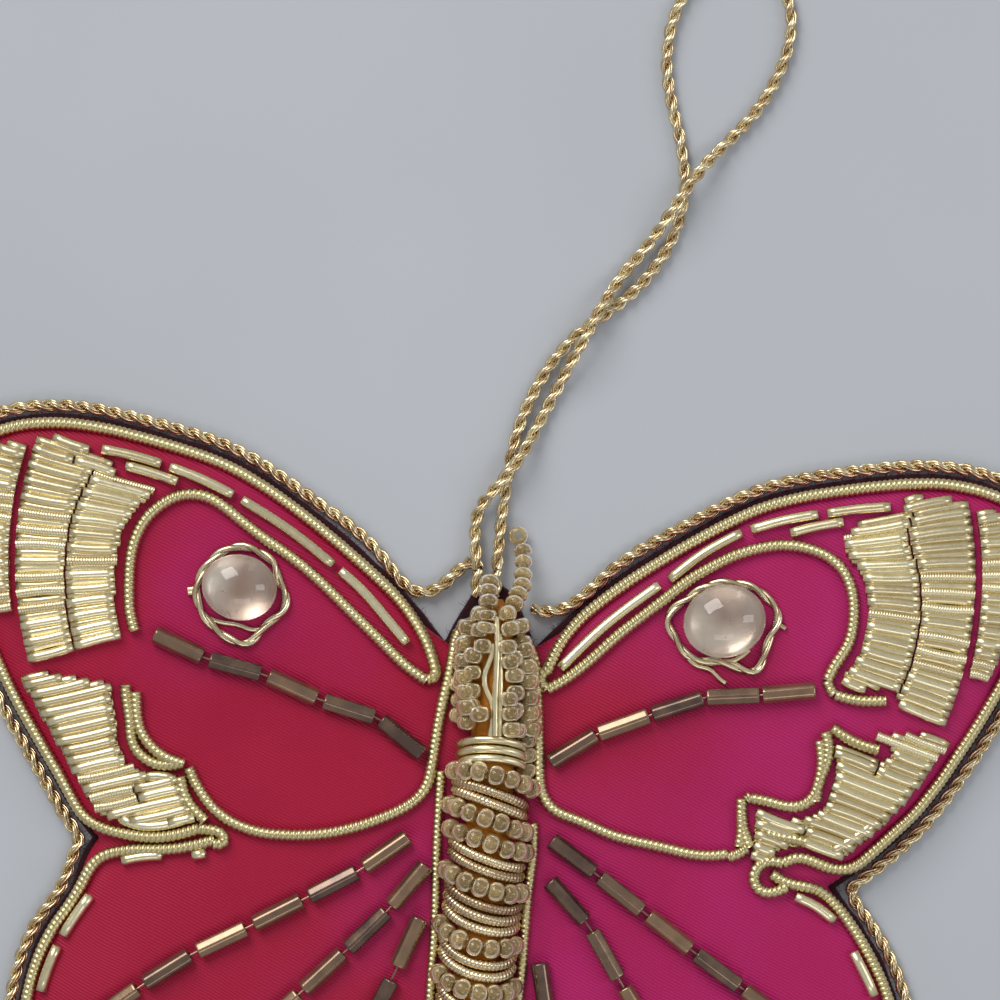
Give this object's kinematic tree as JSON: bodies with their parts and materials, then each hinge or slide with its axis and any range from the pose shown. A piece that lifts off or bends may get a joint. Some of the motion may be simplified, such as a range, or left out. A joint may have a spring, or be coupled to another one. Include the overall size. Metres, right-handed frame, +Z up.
{
  "type": "butterfly ornament",
  "caption": "Padded satin butterfly with couched metal coil, glass bead rays, a beaded body and a swinging cord loop to hang it by.",
  "frame": {"origin": "on the underside of the velvet backing, under the middle of the body where upper and lower wings meet", "axes": "+Y to the head, +X across to the right wing as seen from the front, +Z up from the table out of the embroidered side"},
  "size_m": [0.143, 0.1699, 0.0106],
  "materials": {
    "satin": "satin",
    "velvet": "pile",
    "wadding": "soft",
    "card": "matt",
    "felt": "matt",
    "gold_cord": "metallic thread",
    "gold_coil": "wound wire",
    "gold_tube": "smooth",
    "bugle_glass": "smoky",
    "bead_glass": "smoky",
    "pebble_glass": "clear"
  },
  "bodies": {
    "ornament": {"abdomen_bands": "gold_coil", "abdomen_beads": "bead_glass", "abdomen_padding": "felt", "antenna_left": "bead_glass", "antenna_right": "bead_glass", "back_panel": "velvet", "body_side_coil_left": "gold_coil", "body_side_coil_right": "gold_coil", "cord_tails": "gold_cord", "corner_tubes_left": "gold_tube", "corner_tubes_right": "gold_tube", "edge_cord": "gold_cord", "eye_bezel_left": "gold_coil", "eye_bezel_right": "gold_coil", "eye_cell_coil_left": "gold_coil", "eye_cell_coil_right": "gold_coil", "eye_pebble_left": "pebble_glass", "eye_pebble_right": "pebble_glass", "front_panel": "satin", "leading_edge_tubes_left": "gold_tube", "leading_edge_tubes_right": "gold_tube", "lower_border_coil_left": "gold_coil", "lower_border_coil_right": "gold_coil", "lower_ray_1_bugles_left": "bugle_glass", "lower_ray_1_bugles_right": "bugle_glass", "lower_ray_2_bugles_left": "bugle_glass", "lower_ray_2_bugles_right": "bugle_glass", "lower_ray_3_bugles_left": "bugle_glass", "lower_ray_3_bugles_right": "bugle_glass", "margin_tubes_left": "gold_tube", "margin_tubes_right": "gold_tube", "patch_tubes_left": "gold_tube", "patch_tubes_right": "gold_tube", "stiffener_card": "card", "thorax_beads_left": "bead_glass", "thorax_beads_right": "bead_glass", "thorax_padding": "felt", "thorax_wires": "gold_tube", "upper_border_coil_left": "gold_coil", "upper_border_coil_right": "gold_coil", "upper_ray_bugles_left": "bugle_glass", "upper_ray_bugles_right": "bugle_glass", "wadding": "wadding", "waist_bands": "gold_coil", "wing_coil_left": "gold_coil", "wing_coil_right": "gold_coil"},
    "loop": {"hanging_loop": "gold_cord"}
  },
  "joints": [
    {"name": "loop_swing", "type": "hinge", "parent": "ornament", "child": "loop", "pos_m": [0, 0.0239, 0.00185], "axis": [1, 0, 0], "range_deg": [0, 90]}
  ]
}
